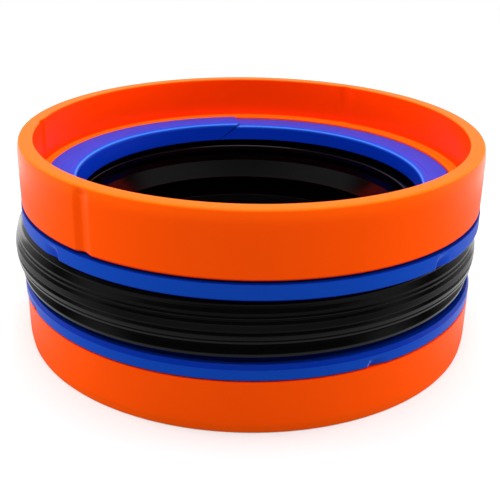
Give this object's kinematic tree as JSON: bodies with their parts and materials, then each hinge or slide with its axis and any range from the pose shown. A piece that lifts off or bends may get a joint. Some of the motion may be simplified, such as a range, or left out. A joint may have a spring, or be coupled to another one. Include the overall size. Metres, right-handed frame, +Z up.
{
  "type": "piston seal",
  "caption": "Double-acting piston seal set: a ribbed rubber ring between split backup rings and L-section guide rings.",
  "frame": {"origin": "on the rings' common axis, in the plane of the lower guide ring's open end face", "axes": "+Z up along the common axis, from the lower guide ring to the upper one; X and Y across the bore"},
  "size_m": [0.0822, 0.0822, 0.0358],
  "materials": {
    "acetal_orange": "moulded, satin gloss",
    "elastomer_blue": "moulded, soft satin",
    "nitrile_rubber_black": "moulded, satin"
  },
  "bodies": {
    "root": {"lower_guide_ring": "acetal_orange", "lower_backup_ring": "elastomer_blue", "seal_element": "nitrile_rubber_black", "upper_backup_ring": "elastomer_blue", "upper_guide_ring": "acetal_orange"}
  },
  "joints": []
}
